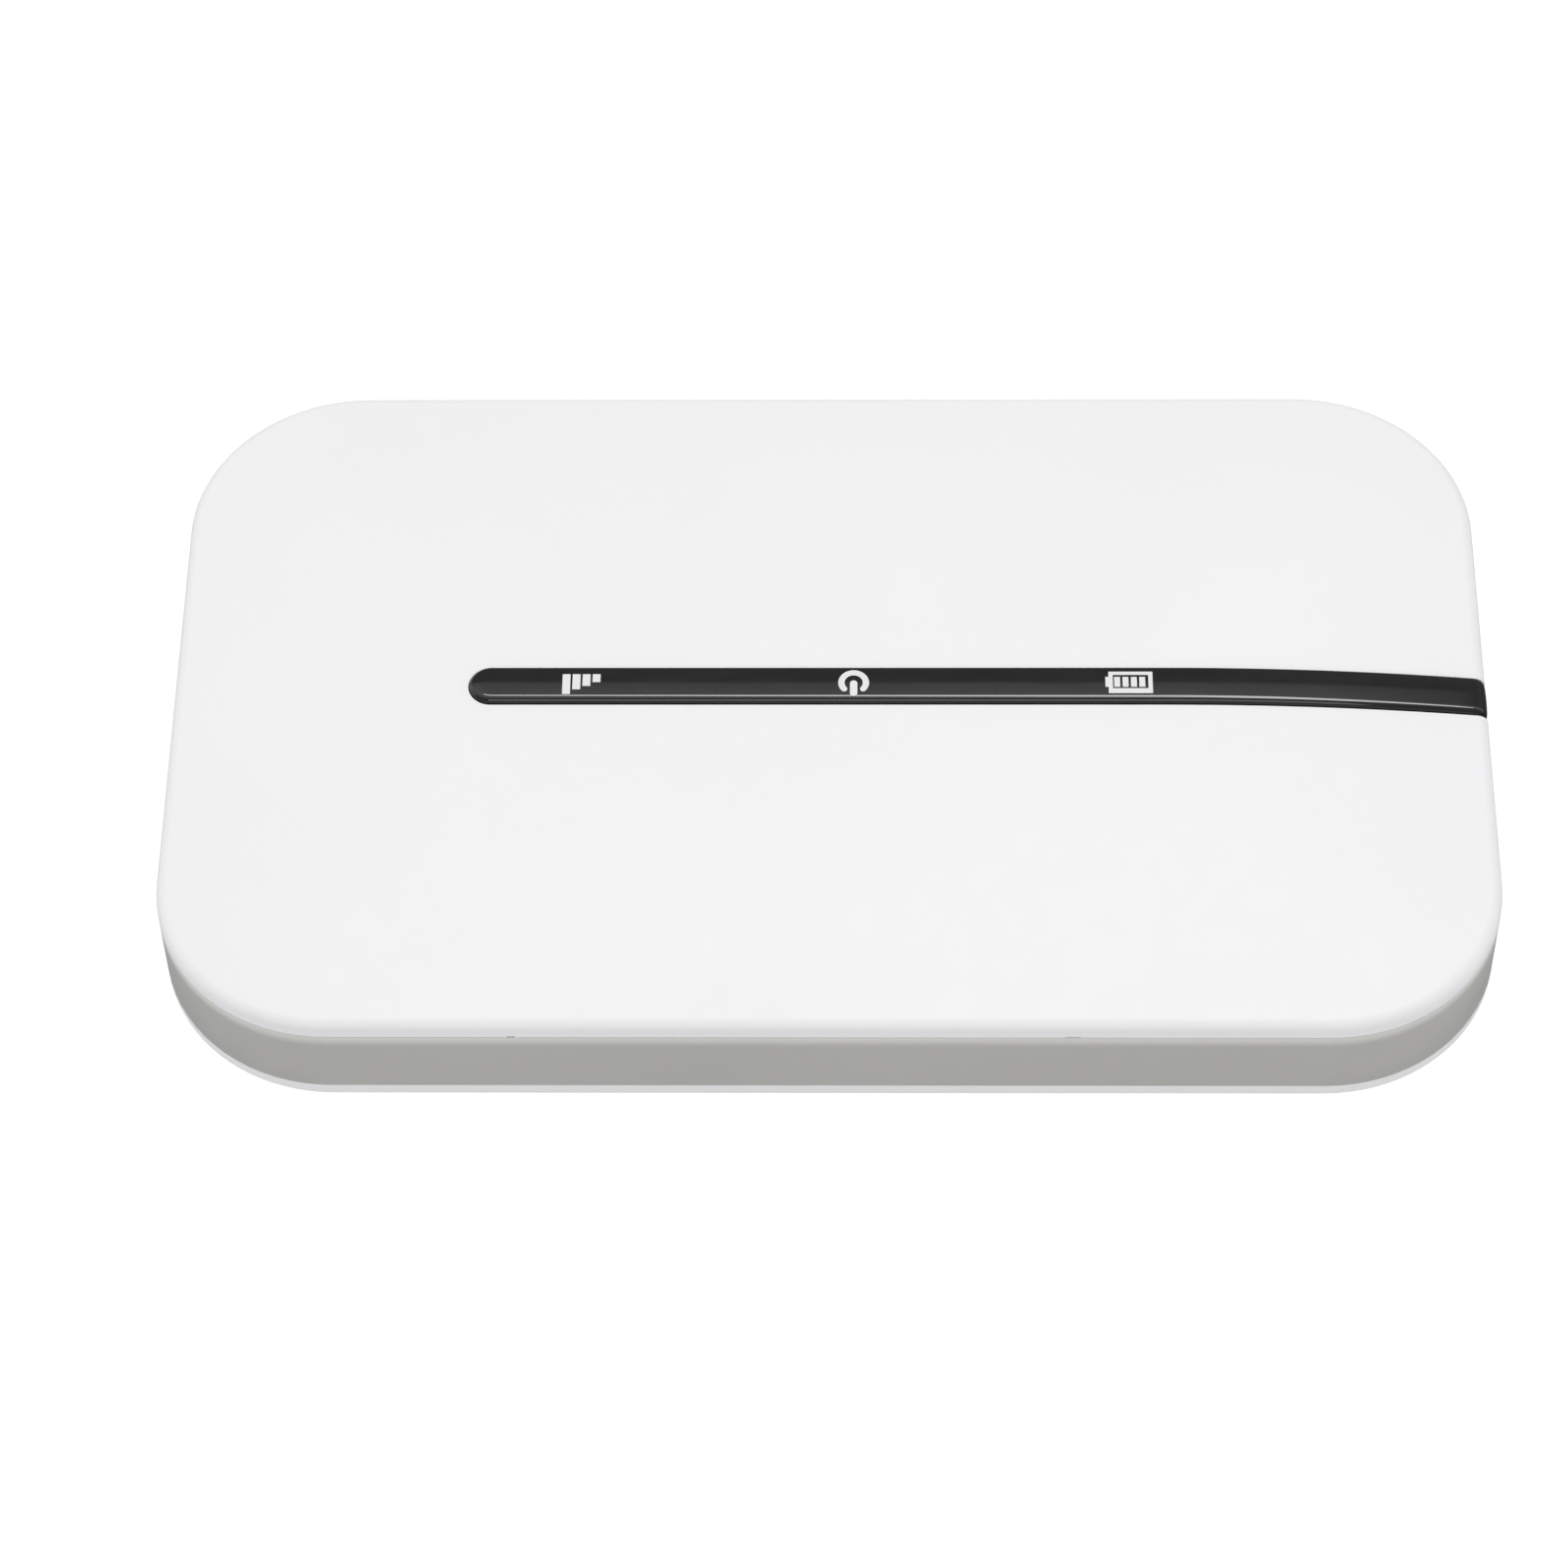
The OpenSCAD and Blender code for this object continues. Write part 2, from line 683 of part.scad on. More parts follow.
module antenna_springs() color(steel)
    for (y = [-5.5, 5.5]) span([-32.2, -31], [y - 1, y + 1], [board_top, top_joint_z - 0.2]);

// ---------------------------------------------------------------- sockets

// Socket's mouth: a flat-topped slot with its two lower corners cut off
module usb_outline(w, h) {
    polygon([[-w / 2, h], [w / 2, h], [w / 2, h * 0.4], [w / 2 - h * 0.35, 0],
        [-w / 2 + h * 0.35, 0], [-w / 2, h * 0.4]]);
}

module usb_shell() color(steel) difference() {
    translate([usb_x[0], 0, usb_z]) rotate([90, 0, 90]) linear_extrude(usb_x[1] - usb_x[0])
        usb_outline(usb_w, usb_h);
    translate([usb_x[0] + 0.4, 0, usb_z + 0.25]) rotate([90, 0, 90]) linear_extrude(6)
        usb_outline(usb_w - 0.5, usb_h - 0.5);
}

module usb_tongue() color(black) {
    span([usb_x[0] + 0.4, usb_x[0] + 1.4], [-3, 3], [usb_z + 1.3, board_z - 0.25]);
    span([usb_x[0] + 1.4, usb_x[1] - 0.6], [-1.85, 1.85], [usb_z + 1.5, usb_z + 2.1]);
}

module usb_contacts() color(gold)
    grid(usb_x[0] + 1.4, -1.48, usb_z + 1.4, 1, 5, 1, 0.65, [3.2, 0.36, 0.1]);

module sim_base() color(black)
    span(sim_x, sim_y, [board_z - 0.5, board_z]);

module sim_shell() color(steel) difference() {
    span(sim_x, sim_y, [sim_z, board_z - 0.5]);
    span([sim_x[0] - 1, sim_x[1] - 0.2], sim_y + [0.2, -0.2], [sim_z + 0.2, board_z]);
    for (y = [-11.5, -6]) span([sim_x[0] + 3, sim_x[0] + 9], [y, y + 2.5], [sim_z - 1, sim_z + 1]);
}

module sim_contacts() color(gold)
    grid(sim_x[0] + 2.4, sim_y[0] + 2.4, board_z - 0.7, 2, 3, 6, 3.6, [3, 1.6, 0.2]);

module battery_connector() color(black) difference() {
    span([bay_x[1] + 0.4, bay_x[1] + 5], [5.5, 14.5], [deck_z - 0.6, board_z]);
    for (y = contact_ys) span([bay_x[1], bay_x[1] + 2.8], [y - 0.7, y + 0.7], [deck_z - 0.3, 5.6]);
}

module battery_springs() color(gold)
    for (y = contact_ys) {
        translate([bay_x[1] + 0.25, y + 0.4, contact_z]) rotate([90, 0, 0]) cylinder(r = 0.48, h = 0.8);
        span([bay_x[1] + 0.3, bay_x[1] + 0.55], [y - 0.4, y + 0.4], [contact_z - 0.4, 5.4]);
        span([bay_x[1] + 0.3, bay_x[1] + 2.8], [y - 0.4, y + 0.4], [5.15, 5.4]);
    }

// ---------------------------------------------------------------- controls

module power_key() color(grey) {
    end_plate([key_flange_x[1] - 0.1, mid_x], key_y, key_z, key_w, key_h, key_h / 2 - 0.01);
    end_plate(key_flange_x, key_y, key_z, key_w + 1.2, key_h + 0.6, 0.6);
}

module power_plunger() color(black)
    end_plate([mid_x - 3.8, key_flange_x[0]], key_y, key_z + 0.1, 2, 1, 0.2);

module power_switch() color(steel) difference() {
    span(switch_x, [key_y - 2.3, key_y + 2.3], [board_z - 2, board_z]);
    end_plate([mid_x - 4.3, mid_x], key_y, key_z + 0.1, 2.1, 1.1, 0.25);
}

module reset_plunger() color(black)
    post(reset_x, reset_y, 0.8, reset_z - 0.6, reset_z + 0.7);

module reset_switch() color(steel) difference() {
    span([reset_x - 1.7, reset_x + 1.7], [reset_y - 1.7, reset_y + 1.7], [reset_z, board_z]);
    post(reset_x, reset_y, 0.87, reset_z - 1, board_z - 0.2);
}

// ---------------------------------------------------------------- fasteners

module case_screws() color(steel)
    at_bosses() translate([0, 0, screw_head_z])
        screw(screw_head_r, screw_head_h, screw_r, screw_end_z - screw_head_z - screw_head_h);

module board_screws() color(steel)
    at_posts() translate([0, 0, board_top + 0.6]) mirror([0, 0, 1])
        screw(1.3, 0.6, board_screw_r, board_screw_h);

// ---------------------------------------------------------------- battery

module rating_label() color([0.9, 0.9, 0.88])
    span([-36, -12], [-18, 18], [roof_z - 0.1, roof_z]);

module battery_cell() color([0.55, 0.57, 0.6])
    translate([battery_x0, 0, battery_z + battery_h / 2]) rotate([90, 0, 90])
        linear_extrude(cap_x0 - battery_x0) rounded(battery_d, battery_h, 1.4);

module battery_end_cap() color(black) difference() {
    translate([cap_x0, 0, battery_z + battery_h / 2]) rotate([90, 0, 90])
        linear_extrude(cap_w) rounded(battery_d, battery_h, 1.4);
    span([cap_x0 - 1, cap_x0 + 1.4], [-16, 16], [battery_z + 0.8, battery_z + battery_h - 0.8]);
    for (y = contact_ys) span([cap_x0, battery_x1 + 1], [y - 0.9, y + 0.9],
        [contact_z - 1, contact_z + 0.7]);
}

module battery_board() color([0.07, 0.3, 0.18])
    span([cap_x0 + 0.5, cap_x0 + 1.3], [-15.8, 15.8], [battery_z + 0.9, battery_z + battery_h - 0.9]);

module battery_contacts() color(gold)
    for (y = contact_ys) span([cap_x0 + 1.3, battery_x1 - 0.1], [y - 0.8, y + 0.8],
        [contact_z - 0.9, contact_z + 0.6]);

module battery_label() color([0.92, 0.92, 0.9])
    span([battery_x0 + 4, cap_x0 - 3], [-17, 17], [battery_z - 0.06, battery_z]);

top_cover();
indicator_strip();
signal_icon();
power_icon();
battery_icon();
light_guides();
light_shroud();
mid_frame();
back_cover();
main_board();
status_leds();
baseband_shield_frame();
baseband_shield_lid();
radio_shield_frame();
radio_shield_lid();
baseband_chip();
memory_chip();
power_chip();
radio_chip();
amplifier_chips();
clock_crystal();
thermal_pad();
inductors();
storage_capacitors();
top_passives();
bottom_passives();
radio_test_sockets();
wifi_antenna();
antenna_carrier();
main_antenna();
side_antenna();
antenna_springs();
usb_shell();
usb_tongue();
usb_contacts();
sim_base();
sim_shell();
sim_contacts();
battery_connector();
battery_springs();
power_key();
power_plunger();
power_switch();
reset_plunger();
reset_switch();
case_screws();
board_screws();
rating_label();
battery_cell();
battery_end_cap();
battery_board();
battery_contacts();
battery_label();
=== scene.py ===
"""Looks of a pocket mobile hotspot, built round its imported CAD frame. Lengths are in metres."""

import json
import math

import bmesh
import bpy
import numpy as np
from mathutils import Matrix, Vector


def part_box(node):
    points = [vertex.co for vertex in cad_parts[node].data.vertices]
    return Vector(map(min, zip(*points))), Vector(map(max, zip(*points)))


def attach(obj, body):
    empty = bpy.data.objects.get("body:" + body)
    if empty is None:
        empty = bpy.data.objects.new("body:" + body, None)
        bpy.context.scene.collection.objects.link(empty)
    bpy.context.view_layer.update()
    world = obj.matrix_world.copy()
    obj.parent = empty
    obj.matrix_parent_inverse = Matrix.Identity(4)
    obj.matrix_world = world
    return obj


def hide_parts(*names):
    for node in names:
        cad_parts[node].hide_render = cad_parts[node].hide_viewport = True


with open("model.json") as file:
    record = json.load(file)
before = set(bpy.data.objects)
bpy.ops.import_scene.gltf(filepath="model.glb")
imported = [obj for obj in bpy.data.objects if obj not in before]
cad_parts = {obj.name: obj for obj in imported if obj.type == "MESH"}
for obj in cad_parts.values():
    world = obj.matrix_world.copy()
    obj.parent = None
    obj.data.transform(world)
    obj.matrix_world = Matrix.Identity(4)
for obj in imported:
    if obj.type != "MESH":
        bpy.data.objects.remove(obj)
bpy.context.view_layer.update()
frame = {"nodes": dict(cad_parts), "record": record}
MM = 0.001

# ------------------------------------------------------------------ sizes, from the frame or as designed

TOP_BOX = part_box("top_cover")
BAND_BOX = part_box("mid_frame")
STRIP_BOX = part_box("indicator_strip")
HALF_X = TOP_BOX[1].x
HALF_Y = TOP_BOX[1].y
TOP_Z = TOP_BOX[1].z
JOINT_LOW = BAND_BOX[0].z
JOINT_HIGH = BAND_BOX[1].z
CORNER_R = 13.3 * MM
CROWN_REACH = 24.3 * MM
TOP_CROWN_R = 200 * MM
BACK_CROWN_R = 246 * MM
TOP_EDGE_R = 1.0 * MM
BACK_EDGE_R = 1.2 * MM
RIM_T = 2.1 * MM
TOP_T = 1.2 * MM
BACK_T = 1.0 * MM
# Crown's diagonals are eased by averaging over rings of points
SMOOTHING = 2.2 * MM
SMOOTHING_RINGS = 4
RING_STEP = 0.75
RING_POINTS = 12
MIDDLE_WEIGHT = 0.17
# Steps of the covers' skins, and how they crowd towards the rim
OUTER_STEPS = 35
INNER_STEPS = 20
EDGE_STEPS = 10
BREAK_STEPS = 4
STEP_POWER = 0.85
INNER_CHAMFER = 0.25 * MM
# Crown's normals: step for its slope, distance within which a point counts as on it, and how far up
# a face has to look
SLOPE_STEP = 0.05 * MM
CROWN_TOLERANCE = 0.003 * MM
FACING = 0.9
JOINT_GAP = 0.02 * MM
BREAK_R = 0.06 * MM
ICON_LIFT = 0.012 * MM
# Painted light on the frame: a paler stretch just under the top cover, in place of the brighter shading
# under the rim. Its height, and gain in tone at the joint
PAINTED_LIGHT_H = 1.3 * MM
PAINTED_LIGHT_GAIN = 0.5
STRIP_TOP = STRIP_BOX[1].z - ICON_LIFT
STRIP_Y = (STRIP_BOX[0].y + STRIP_BOX[1].y) / 2
STRIP_HALF = (STRIP_BOX[1].y - STRIP_BOX[0].y) / 2
STRIP_END = STRIP_BOX[0].x
# Across the strip from its camber to its foot: (arc length, tilt at the start, tilt at the end)
STRIP_EDGE = ((0.08 * MM, 2.8, 8.0), (0.17 * MM, 8.0, 11.8), (0.545 * MM, 11.8, 90.0))
STRIP_CAMBER_TILT = 2.8
STRIP_CORNER_R = 1.3 * MM
STRIP_DEPTH = 0.95 * MM
STRIP_GAP = 0.09 * MM
# Steps of the strip's sweep: round the end, along the level stretch and over the end wall's edge
END_STEPS = 16
RUN_STEPS = 24
ROLL_STEPS = 12
TAPE_SINK = 0.1 * MM
TAPE_LIFT = 0.02 * MM
TAPE_SIDE_GAP = 0.01 * MM
# Moulding marks in the near rim: (x, width, depth)
NICKS = ((-23.1 * MM, 0.54 * MM, 0.3 * MM), (17.9 * MM, 1.1 * MM, 0.08 * MM))
NICK_H = 0.2 * MM
NICK_SOFTNESS = 0.03 * MM
# Height that the channel's tool stands above the strip
CUT_H = 3 * MM
# Back cover's inner features
LIP_INSET = 1.5 * MM
LIP_H = 0.4 * MM
LIP_STEP = 0.03 * MM
TAB_XS = (-30 * MM, 0.0, 30 * MM)
TAB_YS = (-8 * MM, 8 * MM)
KEY_END_TAB_Y = -12 * MM
TAB_W = 5 * MM
TAB_T = 0.7 * MM
TAB_INSET = 1.55 * MM
TAB_TOP = 5.2 * MM
TAB_ROOT = 0.5 * MM
TAB_SOFTNESS = 0.12 * MM
BUMP_INSET = 1.25 * MM
BUMP_MARGIN = 0.5 * MM
BUMP_DROP = 0.4 * MM
BUMP_H = 0.6 * MM
# Depth that a feature reaches into the piece that carries it
FEATURE_SINK = 0.1 * MM
BLOCK_SOFTNESS = 0.1 * MM
BACK_RIB_YS = (-12 * MM, 12 * MM)
BACK_RIB_X = (-30 * MM, 18 * MM)
BACK_RIB_T = 0.8 * MM
BACK_RIB_TOP = 1.4 * MM


# ------------------------------------------------------------------ mesh helpers

def new_object(name, verts, faces, smooth_angle=35):
    """Object from vertices and faces, smooth-shaded with sharp edges kept."""
    mesh = bpy.data.meshes.new(name)
    mesh.from_pydata([tuple(v) for v in verts], [], faces)
    mesh.validate()
    obj = bpy.data.objects.new(name, mesh)
    bpy.context.scene.collection.objects.link(obj)
    bm = bmesh.new()
    bm.from_mesh(mesh)
    bmesh.ops.remove_doubles(bm, verts=bm.verts, dist=1e-7)
    bmesh.ops.recalc_face_normals(bm, faces=bm.faces)
    bm.to_mesh(mesh)
    bm.free()
    shade(obj, smooth_angle)
    return obj


def shade(obj, angle=35):
    """Smooth shading that breaks at edges sharper than the angle."""
    mesh = obj.data
    mesh.shade_smooth()
    bm = bmesh.new()
    bm.from_mesh(mesh)
    limit = math.radians(angle)
    for e in bm.edges:
        e.smooth = not (len(e.link_faces) == 2 and e.calc_face_angle(0) > limit)
    bm.to_mesh(mesh)
    bm.free()


def apply_modifiers(obj):
    """Replaces the mesh with its evaluated form and drops the modifiers."""
    graph = bpy.context.evaluated_depsgraph_get()
    done = bpy.data.meshes.new_from_object(obj.evaluated_get(graph))
    obj.modifiers.clear()
    obj.data = done


def loft(name, loops):
    """Closed skin through loops of equal length; a loop of one point closes an end."""
    verts, faces, starts = [], [], []
    for loop in loops:
        starts.append(len(verts))
        verts.extend(loop)
    for a, b in zip(range(len(loops) - 1), range(1, len(loops))):
        n = max(len(loops[a]), len(loops[b]))
        for i in range(n):
            j = (i + 1) % n
            quad = []
            for k, pair in ((a, (i, j)), (b, (j, i))):
                for p in pair if len(loops[k]) > 1 else (0,):
                    quad.append(starts[k] + p)
            faces.append(quad)
    return new_object(name, verts, faces)


def rounded_outline(half_x, half_y, r, corner_steps=22, long_steps=44, short_steps=22):
    """Anticlockwise points and outward normals of a rounded rectangle."""
    pts, normals = [], []
    corners = ((1, 1, 0), (-1, 1, 90), (-1, -1, 180), (1, -1, 270))
    for k, (sx, sy, start) in enumerate(corners):
        cx, cy = sx * (half_x - r), sy * (half_y - r)
        for i in range(corner_steps + 1):
            a = math.radians(start + 90 * i / corner_steps)
            normals.append((math.cos(a), math.sin(a)))
            pts.append((cx + r * math.cos(a), cy + r * math.sin(a)))
        steps = long_steps if k % 2 == 0 else short_steps
        nx, ny = normals[-1]
        sx2, sy2, _ = corners[(k + 1) % 4]
        end = (sx2 * (half_x - r) + r * nx, sy2 * (half_y - r) + r * ny)
        x0, y0 = pts[-1]
        for i in range(1, steps):
            t = i / steps
            pts.append((x0 + (end[0] - x0) * t, y0 + (end[1] - y0) * t))
            normals.append((nx, ny))
    return np.array(pts), np.array(normals)


def inner_distance(x, y):
    """Distance in from the case's outline, seen from above."""
    qx, qy = np.abs(x) - (HALF_X - CORNER_R), np.abs(y) - (HALF_Y - CORNER_R)
    outside = np.hypot(np.maximum(qx, 0), np.maximum(qy, 0))
    return CORNER_R - outside - np.minimum(np.maximum(qx, qy), 0)


def crown_drop(x, y, crown_r):
    """Drop of a crowned cover below its middle, its diagonals eased over a few millimetres."""
    total, weight = np.zeros_like(x), 0.0
    for ring in range(SMOOTHING_RINGS):
        spread = ring * RING_STEP
        w = math.exp(-0.5 * spread ** 2) * max(ring, MIDDLE_WEIGHT)
        for k in range(RING_POINTS):
            a = 2 * math.pi * (k + ring / 2) / RING_POINTS
            dx, dy = (spread * SMOOTHING * t for t in (math.cos(a), math.sin(a)))
            u = np.maximum(CROWN_REACH - inner_distance(x + dx, y + dy), 0)
            total += w * (crown_r - np.sqrt(crown_r ** 2 - u ** 2))
            weight += w
    return total / weight


def cover_loops(outer_z, up, crown_r, edge_r, thickness, rim_z):
    """Loops of a crowned cover, from the middle of its outside over the rim to the middle of its inside."""
    pts, normals = rounded_outline(HALF_X, HALF_Y, CORNER_R)
    slope = math.asin((CROWN_REACH - edge_r) / (crown_r - edge_r))
    start = edge_r * (1 - math.sin(slope))

    def height(p):
        return outer_z - up * crown_drop(p[:, 0], p[:, 1], crown_r)

    def loop(inset, z):
        p = pts - normals * inset
        return np.column_stack([p, np.full(len(p), 1.0) * z])

    edge = pts - normals * start
    centre = height(edge) - up * edge_r * math.cos(slope)
    loops = [[(0, 0, outer_z)]]
    for i in range(1, OUTER_STEPS):
        p = edge * (i / OUTER_STEPS) ** STEP_POWER
        loops.append(np.column_stack([p, height(p)]))
    for i in range(EDGE_STEPS + 1):
        a = slope + (math.pi / 2 - slope) * i / EDGE_STEPS
        loops.append(loop(edge_r * (1 - math.sin(a)), centre + up * edge_r * math.cos(a)))
    for i in range(BREAK_STEPS, -1, -1):
        a = math.pi / 2 * i / BREAK_STEPS
        loops.append(loop(BREAK_R * (1 - math.sin(a)), rim_z + up * BREAK_R * (1 - math.cos(a))))
    loops.append(loop(RIM_T, rim_z))
    wall = pts - normals * (RIM_T + INNER_CHAMFER)
    loops.append(loop(RIM_T, height(wall) - up * thickness - up * INNER_CHAMFER))
    for i in range(INNER_STEPS, 0, -1):
        p = wall * (i / INNER_STEPS) ** STEP_POWER
        loops.append(np.column_stack([p, height(p) - up * thickness]))
    loops.append([(0, 0, outer_z - up * thickness)])
    return loops


def block(name, lo, hi, bevel=BLOCK_SOFTNESS, segments=2):
    """Box between two corners with rounded edges."""
    x, y, z = zip(lo, hi)
    verts = [(a, b, c) for c in z for b in y for a in x]
    faces = [(0, 2, 3, 1), (4, 5, 7, 6), (0, 1, 5, 4), (2, 6, 7, 3), (0, 4, 6, 2), (1, 3, 7, 5)]
    obj = new_object(name, verts, faces)
    round_edges(obj, bevel, segments)
    apply_modifiers(obj)
    return obj


def round_edges(obj, width, segments=2, angle=35, weld=False):
    """Weld and bevel modifiers that break an object's sharp edges."""
    if weld:
        w = obj.modifiers.new("weld", "WELD")
        w.merge_threshold = 1e-6
    b = obj.modifiers.new("round_edges", "BEVEL")
    b.width = width
    b.segments = segments
    b.limit_method = "ANGLE"
    b.angle_limit = math.radians(angle)
    b.use_clamp_overlap = True
    b.harden_normals = True


def join(name, objects):
    """One object from several."""
    bm = bmesh.new()
    for o in objects:
        o.data.transform(o.matrix_world)
        bm.from_mesh(o.data)
        bpy.data.objects.remove(o)
    mesh = bpy.data.meshes.new(name)
    bm.to_mesh(mesh)
    bm.free()
    obj = bpy.data.objects.new(name, mesh)
    bpy.context.scene.collection.objects.link(obj)
    return obj


def cut(obj, tool):
    """Cuts the tool's shape out of an object."""
    m = obj.modifiers.new("cut", "BOOLEAN")
    m.operation = "DIFFERENCE"
    m.solver = "EXACT"
    m.object = tool
    apply_modifiers(obj)
    bpy.data.objects.remove(tool)
    shade(obj)


# ------------------------------------------------------------------ materials

# Depths of surface marks
ROLLING_DEPTH = 0.004 * MM
COPPER_LINE_DEPTH = 0.02 * MM
FIBRE_DEPTH = 0.01 * MM


def material(name, base, roughness, metallic=0.0):
    """Principled material, its nodes, its links and its shader."""
    m = bpy.data.materials.new(name)
    m.use_nodes = True
    shader = m.node_tree.nodes["Principled BSDF"]
    shader.inputs["Base Color"].default_value = (*base, 1)
    shader.inputs["Roughness"].default_value = roughness
    shader.inputs["Metallic"].default_value = metallic
    return m, m.node_tree.nodes, m.node_tree.links, shader


def position(nodes, links, scale=1000.0, stretch=(1, 1, 1)):
    """Object coordinates in millimetres, stretched along chosen axes."""
    coord = nodes.new("ShaderNodeTexCoord")
    mapping = nodes.new("ShaderNodeMapping")
    mapping.inputs["Scale"].default_value = [scale * s for s in stretch]
    links.new(coord.outputs["Object"], mapping.inputs["Vector"])
    return mapping.outputs["Vector"]


def noise(nodes, links, vector, scale, detail=2.0, rough=0.5):
    """Noise texture's value at a vector."""
    n = nodes.new("ShaderNodeTexNoise")
    n.inputs["Scale"].default_value = scale
    n.inputs["Detail"].default_value = detail
    n.inputs["Roughness"].default_value = rough
    links.new(vector, n.inputs["Vector"])
    return n.outputs["Fac"]


def span_value(nodes, links, source, lo, hi, from_lo=0.3, from_hi=0.7):
    """Maps a texture's value onto a range."""
    r = nodes.new("ShaderNodeMapRange")
    r.inputs["From Min"].default_value = from_lo
    r.inputs["From Max"].default_value = from_hi
    r.inputs["To Min"].default_value = lo
    r.inputs["To Max"].default_value = hi
    links.new(source, r.inputs["Value"])
    return r.outputs["Result"]


def two_tone(nodes, links, source, a, b, lo=0.35, hi=0.65):
    """Colour that goes from a to b as a texture's value rises."""
    ramp = nodes.new("ShaderNodeValToRGB")
    ramp.color_ramp.elements[0].position = lo
    ramp.color_ramp.elements[0].color = (*a, 1)
    ramp.color_ramp.elements[1].position = hi
    ramp.color_ramp.elements[1].color = (*b, 1)
    links.new(source, ramp.inputs["Fac"])
    return ramp.outputs["Color"]


def bump(nodes, links, shader, source, strength, distance):
    """Raises a shader's surface by a texture's value."""
    b = nodes.new("ShaderNodeBump")
    b.inputs["Strength"].default_value = strength
    b.inputs["Distance"].default_value = distance
    links.new(source, b.inputs["Height"])
    links.new(b.outputs["Normal"], shader.inputs["Normal"])


def shift(colour, by):
    """Colour made lighter or darker by a share of itself."""
    return tuple(min(max(c * (1 + by), 0), 1) for c in colour)


def moulded(name, base, roughness, grain=7.0, depth=0.004, tone=0.02):
    """Moulded plastic: spark-eroded grain, slow tone drift and uneven gloss."""
    m, nodes, links, shader = material(name, base, roughness)
    at = position(nodes, links)
    drift = two_tone(nodes, links, noise(nodes, links, at, 0.06, 3), shift(base, -tone), shift(base, tone))
    links.new(drift, shader.inputs["Base Color"])
    gloss = noise(nodes, links, at, 0.5, 4)
    rough = span_value(nodes, links, gloss, roughness - 0.04, roughness + 0.04)
    links.new(rough, shader.inputs["Roughness"])
    fine = noise(nodes, links, at, grain, 2, 0.6)
    bump(nodes, links, shader, fine, 0.35, depth * MM)
    return m


def painted_light_below_joint(m, base):
    """Painted light: makes the frame's plastic paler in a soft stretch just under the joint with the top
    cover, in place of the brighter shading there.
    """
    nodes, links = m.node_tree.nodes, m.node_tree.links
    shader = nodes["Principled BSDF"]
    parts = nodes.new("ShaderNodeSeparateXYZ")
    links.new(position(nodes, links), parts.inputs[0])
    # Painted light fades in over this height towards the joint
    rise = span_value(nodes, links, parts.outputs["Z"], 0, 1, (JOINT_HIGH - PAINTED_LIGHT_H) / MM, JOINT_HIGH / MM)
    rise.node.interpolation_type = "SMOOTHSTEP"
    mix = nodes.new("ShaderNodeMix")
    mix.data_type = "RGBA"
    mix.inputs["B"].default_value = (*shift(base, PAINTED_LIGHT_GAIN), 1)
    links.new(rise, mix.inputs["Factor"])
    links.new(shader.inputs["Base Color"].links[0].from_socket, mix.inputs["A"])
    links.new(mix.outputs["Result"], shader.inputs["Base Color"])
    return m


def metal(name, base, roughness, stretch=(1, 1, 1), grain=6.0, tone=0.08):
    """Plated sheet: rolling marks along one way and a little tarnish."""
    m, nodes, links, shader = material(name, base, roughness, metallic=1.0)
    at = position(nodes, links, stretch=stretch)
    lines = noise(nodes, links, at, grain, 3, 0.6)
    stain = noise(nodes, links, position(nodes, links), 0.35, 4)
    tarnish = two_tone(nodes, links, stain, shift(base, -tone), shift(base, tone))
    links.new(tarnish, shader.inputs["Base Color"])
    rough = span_value(nodes, links, lines, roughness - 0.08, roughness + 0.1)
    links.new(rough, shader.inputs["Roughness"])
    bump(nodes, links, shader, lines, 0.25, ROLLING_DEPTH)
    return m


def board_material():
    """Solder mask over copper: routed lines in two directions and fibre grain."""
    dark, light = (0.008, 0.085, 0.045), (0.018, 0.17, 0.085)
    m, nodes, links, shader = material("solder_mask", dark, 0.32)
    at = position(nodes, links)
    lines = nodes.new("ShaderNodeTexBrick")
    lines.offset = 0.37
    lines.inputs["Color1"].default_value = (*dark, 1)
    lines.inputs["Color2"].default_value = (*shift(dark, 0.3), 1)
    lines.inputs["Mortar"].default_value = (*light, 1)
    lines.inputs["Scale"].default_value = 0.55
    lines.inputs["Mortar Size"].default_value = 0.05
    lines.inputs["Brick Width"].default_value = 2.3
    lines.inputs["Row Height"].default_value = 0.42
    links.new(at, lines.inputs["Vector"])
    weave = noise(nodes, links, at, 3.0, 3)
    mix = nodes.new("ShaderNodeMix")
    mix.data_type = "RGBA"
    mix.inputs["Factor"].default_value = 0.35
    links.new(lines.outputs["Color"], mix.inputs["A"])
    links.new(two_tone(nodes, links, weave, dark, light), mix.inputs["B"])
    links.new(mix.outputs["Result"], shader.inputs["Base Color"])
    links.new(span_value(nodes, links, weave, 0.26, 0.4), shader.inputs["Roughness"])
    bump(nodes, links, shader, lines.outputs["Fac"], 0.4, COPPER_LINE_DEPTH)
    return m


def clear_material():
    """Frosted clear acrylic with faint flow lines."""
    m, nodes, links, shader = material("clear_acrylic", (0.82, 0.86, 0.88), 0.25)
    shader.inputs["Transmission Weight"].default_value = 0.6
    at = position(nodes, links, stretch=(0.3, 1, 1))
    flow = noise(nodes, links, at, 1.4, 3)
    links.new(span_value(nodes, links, flow, 0.18, 0.34), shader.inputs["Roughness"])
    tint = two_tone(nodes, links, flow, (0.78, 0.83, 0.85), (0.88, 0.9, 0.92))
    links.new(tint, shader.inputs["Base Color"])
    return m


